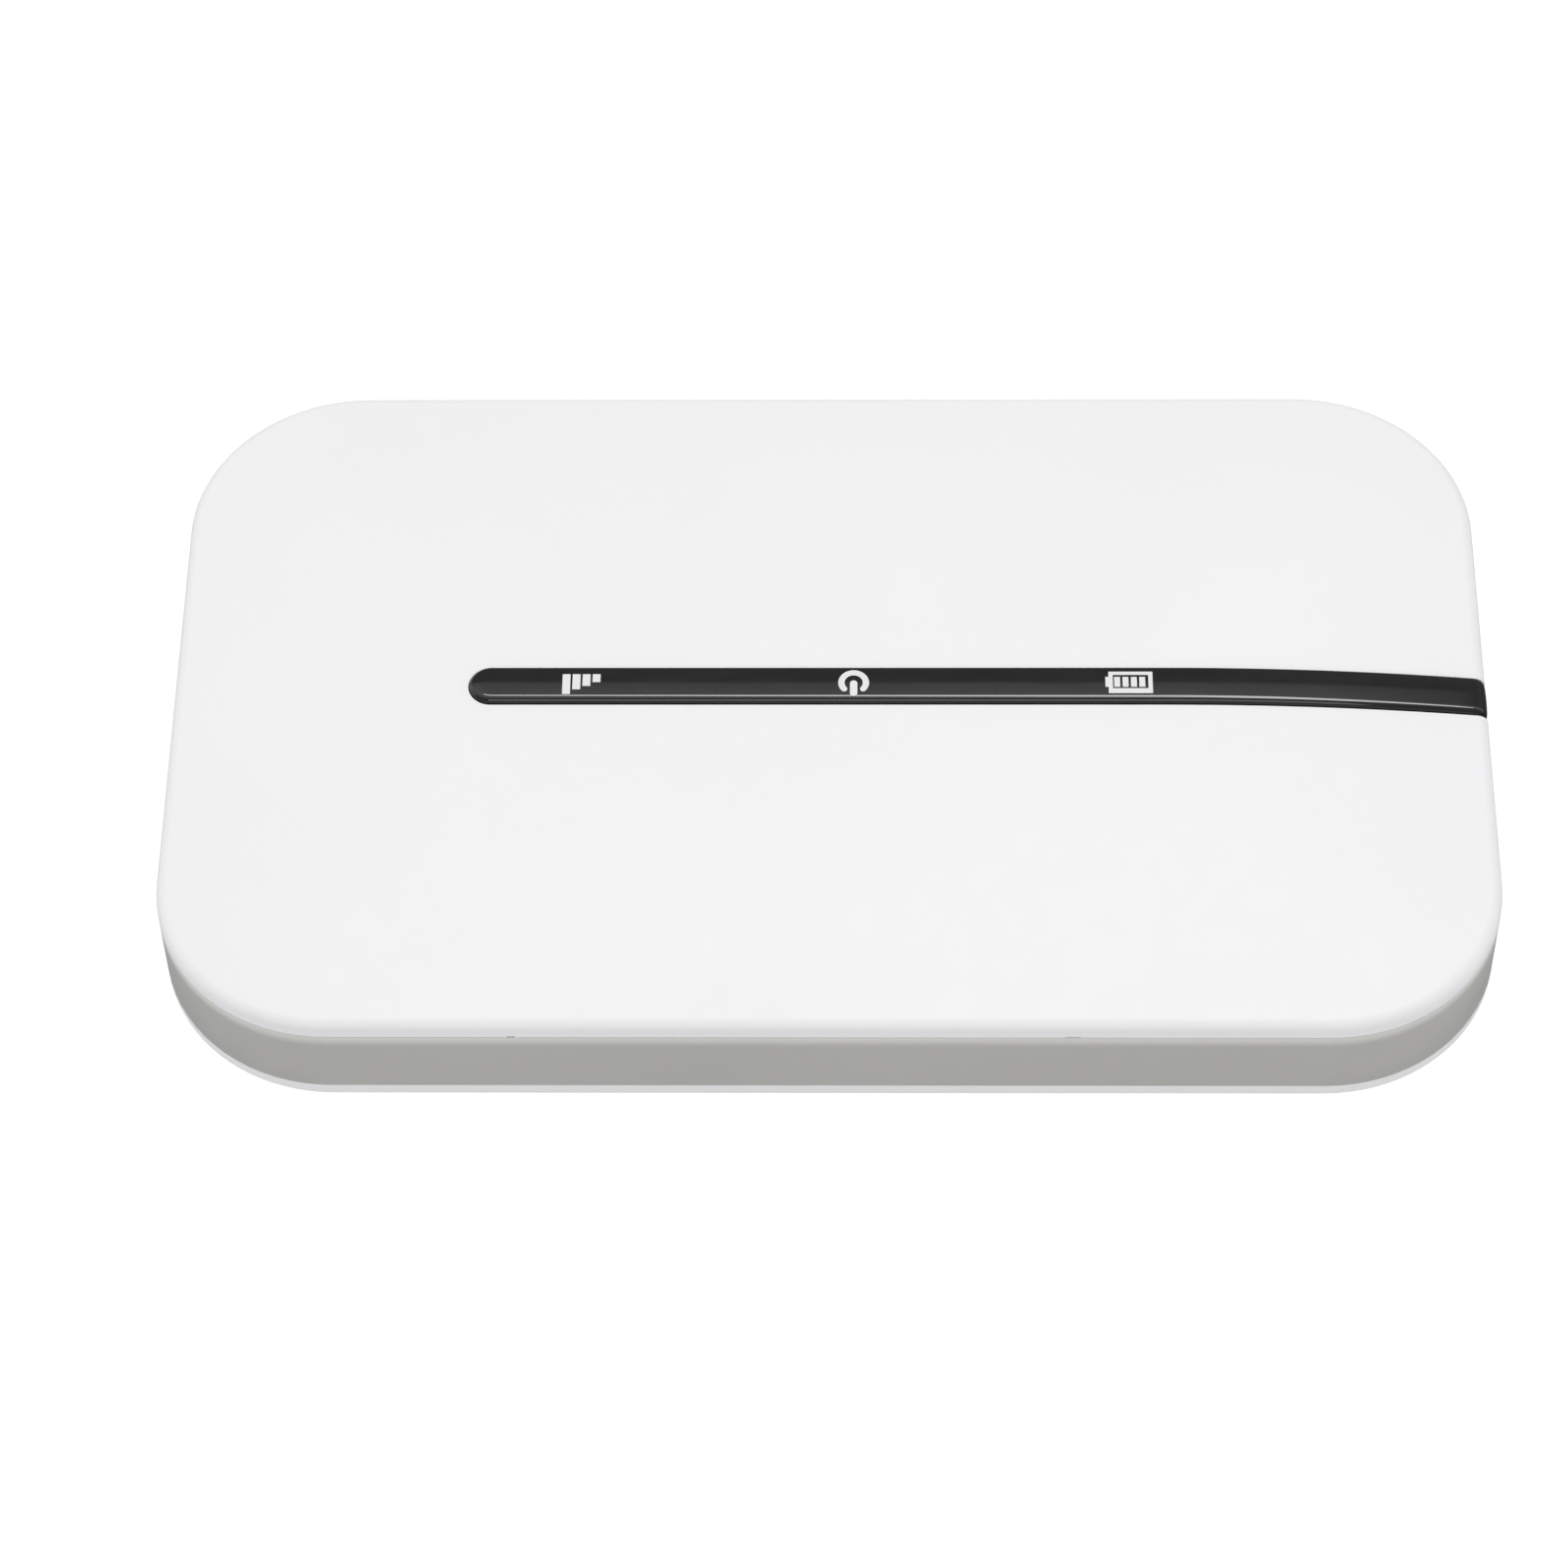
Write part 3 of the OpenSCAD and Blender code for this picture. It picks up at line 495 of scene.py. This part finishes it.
def label_material():
    """Blank printed film: pale field, fine fibre and a soft satin gloss."""
    m, nodes, links, shader = material("label_film", (0.74, 0.74, 0.71), 0.42)
    at = position(nodes, links)
    fibre = noise(nodes, links, at, 1.6, 5, 0.65)
    paper = two_tone(nodes, links, fibre, (0.7, 0.7, 0.67), (0.78, 0.78, 0.76))
    links.new(paper, shader.inputs["Base Color"])
    links.new(span_value(nodes, links, fibre, 0.36, 0.5), shader.inputs["Roughness"])
    bump(nodes, links, shader, fibre, 0.2, FIBRE_DEPTH)
    return m


def glossy_black():
    """Polished black window: a faint haze, drawn out along the strip, in its gloss."""
    m, nodes, links, shader = material("gloss_black", (0.006, 0.006, 0.007), 0.03)
    at = position(nodes, links, stretch=(0.25, 1, 1))
    haze = noise(nodes, links, at, 0.8, 4)
    links.new(span_value(nodes, links, haze, 0.02, 0.05), shader.inputs["Roughness"])
    black = two_tone(nodes, links, haze, (0.005, 0.005, 0.006), (0.009, 0.009, 0.01))
    links.new(black, shader.inputs["Base Color"])
    return m


def make_materials():
    """Material for each of the record's slots."""
    steel, frame_grey = (0.62, 0.63, 0.65), (0.428, 0.423, 0.409)
    return {
        "white_shell": moulded("white_satin", (0.777, 0.777, 0.788), 0.54, tone=0.004),
        # The grey frame's colour carries painted light: a paler stretch under the top cover
        "grey_frame": painted_light_below_joint(
            moulded("grey_matt_painted_light", frame_grey, 0.5, grain=5.0, depth=0.006, tone=0.012), frame_grey),
        "grey_key": moulded("grey_key", (0.5, 0.505, 0.515), 0.42, grain=6.0, tone=0.012),
        "black_window": glossy_black(),
        "white_symbol": moulded("white_print", (0.7, 0.7, 0.71), 0.45, grain=9.0, depth=0.002, tone=0.01),
        "clear_guide": clear_material(),
        "black_foam": moulded("black_foam", (0.02, 0.02, 0.021), 0.9, grain=2.5, depth=0.05, tone=0.2),
        "board_green": board_material(),
        "led_body": moulded("phosphor", (0.8, 0.72, 0.3), 0.35, grain=12.0, tone=0.06),
        "tin_plate": metal("tin_plate", (0.7, 0.7, 0.7), 0.34, stretch=(0.08, 1, 1)),
        "chip_black": moulded("chip_epoxy", (0.022, 0.022, 0.024), 0.55, grain=6.0, depth=0.012, tone=0.15),
        "thermal_pad": moulded("thermal_pad", (0.33, 0.42, 0.53), 0.75, grain=3.0, depth=0.03, tone=0.06),
        "ferrite": moulded("ferrite", (0.09, 0.085, 0.08), 0.6, grain=5.0, depth=0.02, tone=0.2),
        "capacitor_amber": moulded(
            "amber_epoxy", (0.5, 0.3, 0.06), 0.4, grain=5.0, depth=0.008, tone=0.08),
        "passive_tan": moulded("ceramic_tan", (0.27, 0.19, 0.12), 0.5, grain=8.0, depth=0.01, tone=0.25),
        "gold_plate": metal("gold_plate", (0.86, 0.62, 0.24), 0.26),
        "ceramic": moulded("fired_ceramic", (0.68, 0.65, 0.57), 0.4, grain=8.0, depth=0.01, tone=0.04),
        "black_plastic": moulded(
            "black_nylon", (0.028, 0.028, 0.03), 0.48, grain=4.0, depth=0.012, tone=0.15),
        "copper_film": metal("copper_film", (0.72, 0.42, 0.22), 0.38),
        "spring_steel": metal("spring_steel", steel, 0.28, stretch=(1, 0.08, 1)),
        "screw_steel": metal("screw_nickel", (0.5, 0.5, 0.52), 0.32),
        "label_film": label_material(),
        "cell_wrap": moulded("cell_wrap", (0.2, 0.21, 0.225), 0.36, grain=1.5, depth=0.02, tone=0.08),
    }


def dress(obj, mat):
    """Gives an object one material."""
    obj.data.materials.clear()
    obj.data.materials.append(mat)
    return obj


def place(obj, body, slot, mats, *replaced):
    """Gives a new piece its body and its material, and hides the CAD nodes that it stands for."""
    dress(obj, mats[slot])
    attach(obj, body)
    if replaced:
        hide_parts(*replaced)
    return obj


# ------------------------------------------------------------------ case

def end_section(crown_r, top, edge_r, low_z, steps=20):
    """Stations over the crown and down the end wall at +X: (x, z, tilt of the outward normal)."""
    start = HALF_X - CROWN_REACH
    centre_z = top - crown_r
    tilt = math.asin((CROWN_REACH - edge_r) / (crown_r - edge_r))
    stations = []
    for i in range(steps + 1):
        a = tilt * i / steps
        stations.append((start + crown_r * math.sin(a), centre_z + crown_r * math.cos(a), a))
    roll_z = centre_z + (crown_r - edge_r) * math.cos(tilt)
    for i in range(1, ROLL_STEPS + 1):
        a = tilt + (math.pi / 2 - tilt) * i / ROLL_STEPS
        stations.append((HALF_X - edge_r + edge_r * math.sin(a), roll_z + edge_r * math.cos(a), a))
    return stations + [(HALF_X, (roll_z + low_z) / 2, math.pi / 2), (HALF_X, low_z, math.pi / 2)]


def strip_sweep(name, half, low_z, profile):
    """Sweep along the strip, from its round end on the top to the foot of the end wall.

    The profile holds (side from -1 to 1, inset from the half width, height off the strip's surface).
    """
    middle = STRIP_END + STRIP_HALF
    crown_start = HALF_X - CROWN_REACH
    turns = [math.pi / 2 * i / END_STEPS for i in range(END_STEPS + 1)]
    stations = [(middle, STRIP_TOP, 0.0, turn) for turn in turns]
    run = crown_start - middle
    stations += [(middle + run * i / RUN_STEPS, STRIP_TOP, 0.0, math.pi / 2) for i in range(1, RUN_STEPS)]
    lift = STRIP_TOP - TOP_Z
    curve = end_section(TOP_CROWN_R + lift, STRIP_TOP, STRIP_CORNER_R, low_z)
    stations += [(x, z, tilt, math.pi / 2) for x, z, tilt in curve]
    verts, faces = [], []
    n = len(profile)
    for x, z, tilt, turn in stations:
        normal = Vector((math.sin(tilt), 0, math.cos(tilt)))
        for side, inset, height in profile:
            reach = half - inset
            base = Vector((x - reach * math.cos(turn), STRIP_Y + side * reach * math.sin(turn), z))
            verts.append(base + normal * height)
    for i in range(len(stations) - 1):
        for j in range(n):
            k = (j + 1) % n
            faces.append((i * n + j, i * n + k, (i + 1) * n + k, (i + 1) * n + j))
    faces.append([(len(stations) - 1) * n + j for j in range(n)])
    return new_object(name, verts, faces, 50)


def strip_edge(steps=9):
    """Strip's edge, from its camber outwards: (distance out, drop) at each step."""
    out, drop, points = 0.0, 0.0, []
    for length, first, last in STRIP_EDGE:
        for i in range(steps):
            tilt = math.radians(first + (last - first) * (i + 0.5) / steps)
            out += length / steps * math.cos(tilt)
            drop += length / steps * math.sin(tilt)
            points.append((out, drop))
    return points


def make_strip():
    """Indicator strip: slightly cambered across, with rolled edges."""
    edge = strip_edge()
    width = edge[-1][0]
    camber = math.tan(math.radians(STRIP_CAMBER_TILT)) * (STRIP_HALF - width) / 2
    side = [(1, 0.0, -STRIP_DEPTH)]
    side += [(1, width - out, -camber - drop) for out, drop in reversed(edge)]
    side += [(t, width, -camber * t * t) for t in (1.0, 0.8, 0.6, 0.4, 0.2)]
    other = [(-t, inset, height) for t, inset, height in reversed(side)]
    profile = side + [(0, width, 0.0)] + other
    return strip_sweep("strip_window", STRIP_HALF, JOINT_HIGH + JOINT_GAP, profile)


def make_tape():
    """Black tape in the channel's floor, a little below the cover's surface."""
    floor, roof = -STRIP_DEPTH + TAPE_LIFT, TOP_Z - STRIP_TOP - TAPE_SINK
    profile = [(1, 0.0, floor), (1, 0.0, roof), (-1, 0.0, roof), (-1, 0.0, floor)]
    half = STRIP_HALF + STRIP_GAP - TAPE_SIDE_GAP
    return strip_sweep("strip_tape", half, JOINT_HIGH + 2 * JOINT_GAP, profile)


def channel_tool():
    """Tool that cuts the strip's channel out of the top cover."""
    floor, roof = -STRIP_DEPTH, CUT_H
    profile = [(1, 0.0, floor), (1, 0.0, roof), (-1, 0.0, roof), (-1, 0.0, floor)]
    return strip_sweep("channel_tool", STRIP_HALF + STRIP_GAP, JOINT_HIGH - MM, profile)


def smooth_crown(obj, outer_z, up, crown_r):
    """Sets the crowned face's normals from the crown itself, so that cuts don't disturb its shading."""
    mesh = obj.data
    co = np.empty(len(mesh.vertices) * 3)
    mesh.vertices.foreach_get("co", co)
    co = co.reshape(-1, 3)
    e = SLOPE_STEP
    x, y = co[:, 0], co[:, 1]
    drop = crown_drop(x, y, crown_r)
    on_crown = np.abs(co[:, 2] - (outer_z - up * drop)) < CROWN_TOLERANCE
    dx = (crown_drop(x + e, y, crown_r) - crown_drop(x - e, y, crown_r)) / (2 * e)
    dy = (crown_drop(x, y + e, crown_r) - crown_drop(x, y - e, crown_r)) / (2 * e)
    crown = np.column_stack([dx, dy, np.full(len(x), float(up))])
    crown /= np.linalg.norm(crown, axis=1)[:, None]
    normals = np.array([c.vector[:] for c in mesh.corner_normals])
    for face in mesh.polygons:
        if face.normal.z * up > FACING:
            for corner in face.loop_indices:
                v = mesh.loops[corner].vertex_index
                if on_crown[v]:
                    normals[corner] = crown[v]
    mesh.normals_split_custom_set([tuple(n) for n in normals])


def nick_tools():
    """Tools for the two moulding marks in the near rim."""
    tools = []
    for i, (x, width, depth) in enumerate(NICKS):
        lo = (x - width / 2, -HALF_Y - MM, JOINT_HIGH - MM)
        hi = (x + width / 2, -HALF_Y + depth, JOINT_HIGH + NICK_H)
        tools.append(block("nick_tool_%d" % i, lo, hi, NICK_SOFTNESS, 3))
    return tools


def rim_ring(name, outer_inset, inner_inset, low_z, high_z):
    """Closed ring that follows the case's outline between two insets."""
    pts, normals = rounded_outline(HALF_X, HALF_Y, CORNER_R)
    corners = ((outer_inset, low_z), (outer_inset, high_z), (inner_inset, high_z), (inner_inset, low_z))
    n = len(pts)
    verts = [(*(p - normal * inset), z) for inset, z in corners for p, normal in zip(pts, normals)]
    faces = []
    for k in range(4):
        for i in range(n):
            a, b, c, d = k * n, ((k + 1) % 4) * n, i, (i + 1) % n
            faces.append((a + c, a + d, b + d, b + c))
    return new_object(name, verts, faces)


def snap_tabs():
    """Back cover's snap tabs, each a thin tongue with a bump on its outside."""
    places = [(x, side * HALF_Y, side * 90) for x in TAB_XS for side in (-1, 1)]
    places += [(-HALF_X, y, 180) for y in TAB_YS] + [(HALF_X, KEY_END_TAB_Y, 0)]
    half, tabs = TAB_W / 2, []
    for x, y, turn in places:
        root = (-TAB_INSET - TAB_T, -half, JOINT_LOW - TAB_ROOT)
        tongue = block("tab", root, (-TAB_INSET, half, TAB_TOP), TAB_SOFTNESS)
        bump_half = half - BUMP_MARGIN
        foot = (-TAB_INSET - FEATURE_SINK, -bump_half, TAB_TOP - BUMP_DROP - BUMP_H)
        snap_bump = block("bump", foot, (-BUMP_INSET, bump_half, TAB_TOP - BUMP_DROP), TAB_SOFTNESS)
        spin = Matrix.Rotation(math.radians(turn), 4, "Z")
        for piece in (tongue, snap_bump):
            piece.data.transform(Matrix.Translation((x, y, 0)) @ spin)
            tabs.append(piece)
    return tabs


def battery_ribs():
    """Back cover's two ribs under the battery."""
    ribs = []
    for y in BACK_RIB_YS:
        lo = (BACK_RIB_X[0], y - BACK_RIB_T / 2, BACK_T - FEATURE_SINK)
        ribs.append(block("rib", lo, (BACK_RIB_X[1], y + BACK_RIB_T / 2, BACK_RIB_TOP)))
    return ribs


def make_back():
    """Back cover with its locating lip, snap tabs and ribs."""
    loops = cover_loops(0.0, -1, BACK_CROWN_R, BACK_EDGE_R, BACK_T, JOINT_LOW - JOINT_GAP)
    skin = loft("skin", loops)
    lip = rim_ring("lip", LIP_INSET, RIM_T - LIP_STEP, JOINT_LOW - TAB_ROOT, JOINT_LOW + LIP_H)
    return join("back_shell", [skin, lip] + snap_tabs() + battery_ribs())


def make_case(mats):
    """Covers, strip and tape, in place of the CAD's."""
    loops = cover_loops(TOP_Z, 1, TOP_CROWN_R, TOP_EDGE_R, TOP_T, JOINT_HIGH + JOINT_GAP)
    top = loft("top_shell", loops)
    for tool in [channel_tool()] + nick_tools():
        cut(top, tool)
    smooth_crown(top, TOP_Z, 1, TOP_CROWN_R)
    place(top, "case", "white_shell", mats, "top_cover")
    place(make_back(), "back_cover", "white_shell", mats, "back_cover")
    place(make_strip(), "case", "black_window", mats, "indicator_strip")
    place(make_tape(), "case", "black_foam", mats)


# ------------------------------------------------------------------ carried-over CAD nodes

# Edge radii in millimetres; other nodes get the default. None goes past a share of the node's
# thinnest side, and thin sheets keep sharp edges
DEFAULT_EDGE = 0.05
EDGE_SHARE = 0.3
THIN_SHEET = 0.15 * MM
FINE_EDGES = {
    "mid_frame": 0.2, "power_key": 0.18, "battery_cell": 0.15, "battery_end_cap": 0.15,
    "battery_connector": 0.12, "sim_base": 0.08, "usb_tongue": 0.06, "main_board": 0.06,
    "antenna_carrier": 0.15, "case_screws": 0.08, "board_screws": 0.06, "baseband_shield_lid": 0.06,
    "radio_shield_lid": 0.06, "power_switch": 0.06, "reset_switch": 0.06, "reset_plunger": 0.08}


def dress_cad_nodes(mats):
    """Every CAD node that stays gets its slot's material and broken edges."""
    slots = {s["node"]: s["material_slot"] for s in frame["record"]["subparts"]}
    for name, obj in frame["nodes"].items():
        dress(obj, mats[slots[name]])
        lo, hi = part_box(name)
        thin = min(hi - lo)
        width = FINE_EDGES.get(name, DEFAULT_EDGE) * MM
        if thin > THIN_SHEET:
            round_edges(obj, min(width, thin * EDGE_SHARE), weld=True)


# ------------------------------------------------------------------ studio

CAMERA_YAW = 1.6258
CAMERA_ELEVATION = 54.1891
CAMERA_ROLL = -1.3086
CAMERA_DISTANCE = 399.25 * MM
CAMERA_TARGET = (-3.531 * MM, -1.572 * MM, 1.66 * MM)
CAMERA_LENS = 118.5
WORLD_STRENGTH = 0.98
# Light level under the horizon, and the heights over which it fades in
WORLD_BELOW = 0.16
HORIZON_BLUR = (-0.03, 0.03)
# Light level from the front horizon (-1) over the top (0) to the back horizon (1)
WORLD_LEVELS = (
    (-1.0, 0.42), (-0.2, 0.5), (-0.1, 1.2), (0.28, 1.2), (0.3, 1.6), (0.45, 1.5), (0.592, 0.92),
    (0.612, 0.42), (1.0, 0.3))
# Beyond the right-hand end of the back wall's light: level, and the stretches over which it fades
WORLD_DIM = 0.36
WALL_END = (0.18, 0.36)
WALL_FOOT = (0.3, 0.4)
FLOOR_R = 4.0
FLOOR_SIDES = 48
FLOOR_ALBEDO = 0.3
FLOOR_GLOW = 0.78
KEY_AT = (0.1, 0.25, 0.76)
KEY_SIZE = (0.55, 0.1)
KEY_POWER = 1.95
FILL_AT = (0.0, -0.78, 0.68)
FILL_SIZE = (0.5, 0.5)
FILL_POWER = 1.75


def make_camera():
    """Camera at the photograph's viewing angle."""
    yaw, lift, roll = (math.radians(v) for v in (CAMERA_YAW, CAMERA_ELEVATION, CAMERA_ROLL))
    back = Vector((math.sin(yaw) * math.cos(lift), -math.cos(yaw) * math.cos(lift), math.sin(lift)))
    right = Vector((math.cos(yaw), math.sin(yaw), 0))
    up = back.cross(right)
    right, up = right * math.cos(roll) + up * math.sin(roll), up * math.cos(roll) - right * math.sin(roll)
    cam = bpy.data.cameras.new("camera")
    cam.lens = CAMERA_LENS
    cam.sensor_width = 36
    cam.clip_start = 0.01
    obj = bpy.data.objects.new("camera", cam)
    obj.matrix_world = Matrix.Translation(Vector(CAMERA_TARGET) + back * CAMERA_DISTANCE) @ Matrix(
        (right, up, back)).transposed().to_4x4()
    bpy.context.scene.collection.objects.link(obj)
    bpy.context.scene.camera = obj


def area_light(name, place_at, aim, size, power):
    """Rectangular soft light, aimed at a point."""
    data = bpy.data.lights.new(name, "AREA")
    data.shape = "RECTANGLE"
    data.size, data.size_y = size
    data.energy = power
    obj = bpy.data.objects.new(name, data)
    direction = Vector(aim) - Vector(place_at)
    obj.rotation_euler = direction.to_track_quat("-Z", "Y").to_euler()
    obj.location = place_at
    bpy.context.scene.collection.objects.link(obj)


def make_world():
    """Soft light in long bands across the room, as from ceiling panels, with a dim back wall and ground."""
    world = bpy.data.worlds.new("studio")
    bpy.context.scene.world = world
    world.use_nodes = True
    nodes, links = world.node_tree.nodes, world.node_tree.links
    coord = nodes.new("ShaderNodeTexCoord")
    parts = nodes.new("ShaderNodeSeparateXYZ")
    links.new(coord.outputs["Generated"], parts.inputs[0])
    across = span_value(nodes, links, parts.outputs["Y"], 0, 1, -1, 1)
    above = span_value(nodes, links, parts.outputs["Z"], 0, 1, *HORIZON_BLUR)
    brightest = max(level for _, level in WORLD_LEVELS)
    ramp = nodes.new("ShaderNodeValToRGB")
    elements = ramp.color_ramp.elements
    for i, (at, level) in enumerate(WORLD_LEVELS):
        e = elements[i] if i < 2 else elements.new((at + 1) / 2)
        e.position = (at + 1) / 2
        e.color = (level / brightest,) * 3 + (1,)
    links.new(across, ramp.inputs["Fac"])
    # The back wall's light ends at its right-hand side
    corner = nodes.new("ShaderNodeMath")
    corner.operation = "MULTIPLY"
    for socket, axis, reach in zip(corner.inputs, "XY", (WALL_END, WALL_FOOT)):
        links.new(span_value(nodes, links, parts.outputs[axis], 0, 1, *reach), socket)
    colour = ramp.outputs["Color"]
    for factor, level, side in ((corner.outputs[0], WORLD_DIM, "B"), (above, WORLD_BELOW, "A")):
        mix = nodes.new("ShaderNodeMix")
        mix.data_type = "RGBA"
        mix.inputs[side].default_value = (level / brightest,) * 3 + (1,)
        links.new(factor, mix.inputs["Factor"])
        links.new(colour, mix.inputs["A" if side == "B" else "B"])
        colour = mix.outputs["Result"]
    links.new(colour, nodes["Background"].inputs["Color"])
    nodes["Background"].inputs["Strength"].default_value = WORLD_STRENGTH * brightest


def make_floor():
    """Pale floor, lit evenly from within so that it stays almost free of shadows."""
    turns = [2 * math.pi * i / FLOOR_SIDES for i in range(FLOOR_SIDES)]
    ring = [(FLOOR_R * math.cos(a), FLOOR_R * math.sin(a), 0) for a in turns]
    floor = loft("floor", [[(0, 0, 0)], ring])
    base = (FLOOR_ALBEDO,) * 3
    m, nodes, links, shader = material("pale_floor", base, 0.8)
    grain = noise(nodes, links, position(nodes, links), 0.05, 3)
    tint = two_tone(nodes, links, grain, shift(base, -0.01), shift(base, 0.01))
    links.new(tint, shader.inputs["Base Color"])
    shader.inputs["Emission Color"].default_value = (1, 1, 1, 1)
    shader.inputs["Emission Strength"].default_value = FLOOR_GLOW
    dress(floor, m)
    floor.visible_glossy = False


def make_studio():
    """World, floor and two soft lights."""
    make_world()
    make_floor()
    area_light("key", KEY_AT, (0, 0, 0), KEY_SIZE, KEY_POWER)
    area_light("fill", FILL_AT, (0, 0, 0), FILL_SIZE, FILL_POWER)
    bpy.context.scene.view_settings.view_transform = "Standard"


materials = make_materials()
dress_cad_nodes(materials)
make_case(materials)
make_studio()
make_camera()
